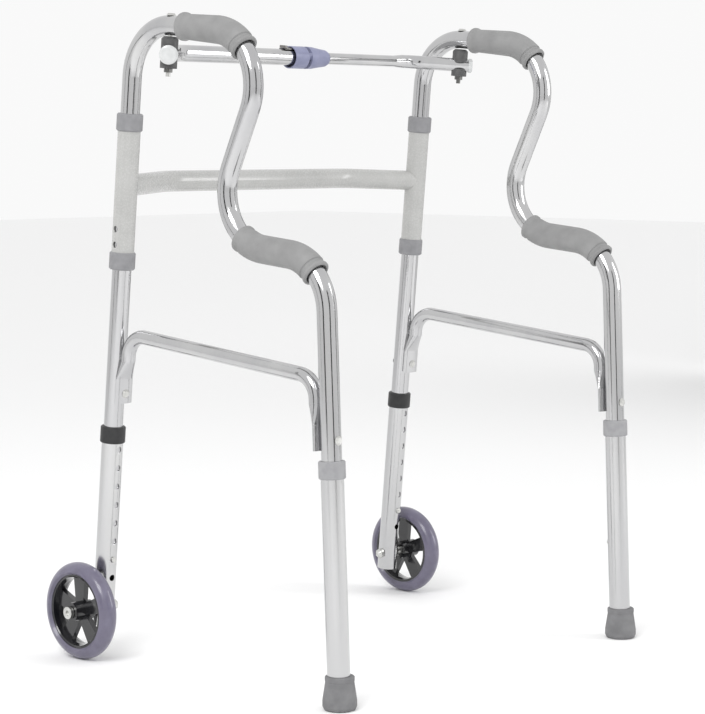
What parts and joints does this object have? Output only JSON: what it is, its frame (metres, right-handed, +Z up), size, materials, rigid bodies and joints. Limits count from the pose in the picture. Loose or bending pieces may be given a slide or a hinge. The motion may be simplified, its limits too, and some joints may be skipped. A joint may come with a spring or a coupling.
{
  "type": "walking frame",
  "caption": "Folding two-level walking frame with front wheels, rubber rear tips, rise-assist hand grips, side braces, height-adjusting legs and a telescopic top rod",
  "frame": {"origin": "On the floor, below the middle of the object's bounding box.", "axes": "+X to the user's right, +Y the way the user walks, +Z up."},
  "size_m": [0.6896, 0.5275, 0.8507],
  "materials": {
    "polished_aluminium": "polished",
    "satin_aluminium": "satin",
    "grip_grey": "matte moulded",
    "zinc": "zinc plated",
    "spring_steel": "spring steel",
    "dark_plastic": "matte",
    "dark_steel": "dark plated",
    "cap_white": "glossy",
    "collar_black": "matte",
    "collar_light": "matte",
    "tip_rubber": "matte",
    "tyre": "glossy solid tyre",
    "hub_black": "glossy",
    "painted_grey": "gloss paint",
    "bush_grey": "matte",
    "lock_plastic": "satin"
  },
  "bodies": {
    "front_frame": {"crossbar": "painted_grey", "sleeve_left": "painted_grey", "sleeve_right": "painted_grey", "sleeve_bushes": "bush_grey"},
    "left_side": {"side_tube_left": "polished_aluminium", "upper_grip_left": "grip_grey", "lower_grip_left": "grip_grey", "side_brace_left": "polished_aluminium", "brace_rivets_left": "zinc", "rod_bolt_left": "zinc", "rod_nut_left": "dark_steel", "snap_spring_front_left": "spring_steel", "snap_spring_rear_left": "spring_steel"},
    "front_leg_left": {"leg_tube_front_left": "satin_aluminium", "leg_collar_front_left": "collar_black", "axle_bush_left": "zinc", "axle_bolt_left": "zinc", "axle_nut_left": "zinc"},
    "rear_leg_left": {"leg_tube_rear_left": "satin_aluminium", "leg_collar_rear_left": "collar_light", "rear_tip_left": "tip_rubber"},
    "wheel_left": {"wheel_hub_left": "hub_black", "tyre_left": "tyre"},
    "button_front_left": {"snap_button_front_left": "zinc"},
    "button_rear_left": {"snap_button_rear_left": "zinc"},
    "right_side": {"side_tube_right": "polished_aluminium", "upper_grip_right": "grip_grey", "lower_grip_right": "grip_grey", "side_brace_right": "polished_aluminium", "brace_rivets_right": "zinc", "rod_bolt_right": "zinc", "snap_spring_front_right": "spring_steel", "snap_spring_rear_right": "spring_steel"},
    "front_leg_right": {"leg_tube_front_right": "satin_aluminium", "leg_collar_front_right": "collar_black", "axle_bush_right": "zinc", "axle_bolt_right": "zinc", "axle_nut_right": "zinc"},
    "rear_leg_right": {"leg_tube_rear_right": "satin_aluminium", "leg_collar_rear_right": "collar_light", "rear_tip_right": "tip_rubber"},
    "wheel_right": {"wheel_hub_right": "hub_black", "tyre_right": "tyre"},
    "button_front_right": {"snap_button_front_right": "zinc"},
    "button_rear_right": {"snap_button_rear_right": "zinc"},
    "rod_outer": {"rod_outer_tube": "polished_aluminium", "rod_cap_left": "cap_white", "rod_spacer_left": "dark_plastic", "rod_washer_left": "dark_plastic", "rod_lock": "lock_plastic"},
    "rod_inner": {"rod_inner_tube": "polished_aluminium", "rod_cap_right": "cap_white", "rod_spacer_right": "dark_plastic", "rod_washer_right": "dark_plastic", "rod_nut_right": "dark_steel"},
    "rod_clip": {"rod_clip": "spring_steel"}
  },
  "joints": [
    {"name": "left_fold", "type": "hinge", "parent": "front_frame", "child": "left_side", "pos_m": [-0.282, 0.2047, 0], "axis": [0, -0.0958, 0.9954], "range_deg": [0, 90]},
    {"name": "right_fold", "type": "hinge", "parent": "front_frame", "child": "right_side", "pos_m": [0.282, 0.2047, 0], "axis": [0, 0.0958, -0.9954], "range_deg": [0, 54]},
    {"name": "rod_pivot", "type": "hinge", "parent": "left_side", "child": "rod_outer", "pos_m": [-0.282, 0.05853, 0.79816], "axis": [0, -0.0958, 0.9954], "range_deg": [-95.38, 0]},
    {"name": "rod_slide", "type": "slide", "parent": "rod_outer", "child": "rod_inner", "axis": [-1, 0, 0], "range_m": [0, 0.1233]},
    {"name": "clip_press", "type": "slide", "parent": "rod_outer", "child": "rod_clip", "axis": [0, 0.0958, -0.9954], "range_m": [0, 0.001], "stiffness_N_per_m": 1500},
    {"name": "front_button_left", "type": "slide", "parent": "left_side", "child": "button_front_left", "axis": [0, 0.9954, 0.0958], "range_m": [0, 0.004], "stiffness_N_per_m": 800, "deforming": ["snap_spring_front_left"]},
    {"name": "front_leg_left", "type": "slide", "parent": "left_side", "child": "front_leg_left", "axis": [0, 0.0958, -0.9954], "range_m": [-0.025, 0.15], "deforming": ["snap_button_front_left"]},
    {"name": "rear_button_left", "type": "slide", "parent": "left_side", "child": "button_rear_left", "axis": [0, -0.999, 0.0436], "range_m": [0, 0.004], "stiffness_N_per_m": 800, "deforming": ["snap_spring_rear_left"]},
    {"name": "rear_leg_left", "type": "slide", "parent": "left_side", "child": "rear_leg_left", "axis": [0, -0.0436, -0.999], "range_m": [0, 0.15], "deforming": ["snap_button_rear_left"]},
    {"name": "wheel_spin_left", "type": "hinge", "parent": "front_leg_left", "child": "wheel_left", "pos_m": [-0.321, 0.19844, 0.065], "axis": [1, 0, 0], "continuous": true},
    {"name": "front_button_right", "type": "slide", "parent": "right_side", "child": "button_front_right", "axis": [0, 0.9954, 0.0958], "range_m": [0, 0.004], "stiffness_N_per_m": 800, "deforming": ["snap_spring_front_right"]},
    {"name": "front_leg_right", "type": "slide", "parent": "right_side", "child": "front_leg_right", "axis": [0, 0.0958, -0.9954], "range_m": [-0.025, 0.15], "deforming": ["snap_button_front_right"]},
    {"name": "rear_button_right", "type": "slide", "parent": "right_side", "child": "button_rear_right", "axis": [0, -0.999, 0.0436], "range_m": [0, 0.004], "stiffness_N_per_m": 800, "deforming": ["snap_spring_rear_right"]},
    {"name": "rear_leg_right", "type": "slide", "parent": "right_side", "child": "rear_leg_right", "axis": [0, -0.0436, -0.999], "range_m": [0, 0.15], "deforming": ["snap_button_rear_right"]},
    {"name": "wheel_spin_right", "type": "hinge", "parent": "front_leg_right", "child": "wheel_right", "pos_m": [0.321, 0.19844, 0.065], "axis": [1, 0, 0], "continuous": true}
  ],
  "couplings": [
    {"joint": "right_fold", "follows": "left_fold", "ratio": 0.6},
    {"joint": "rod_pivot", "follows": "left_fold", "ratio": -1.0586},
    {"joint": "rod_slide", "follows": "left_fold", "m_per_rad": 0.07827}
  ]
}
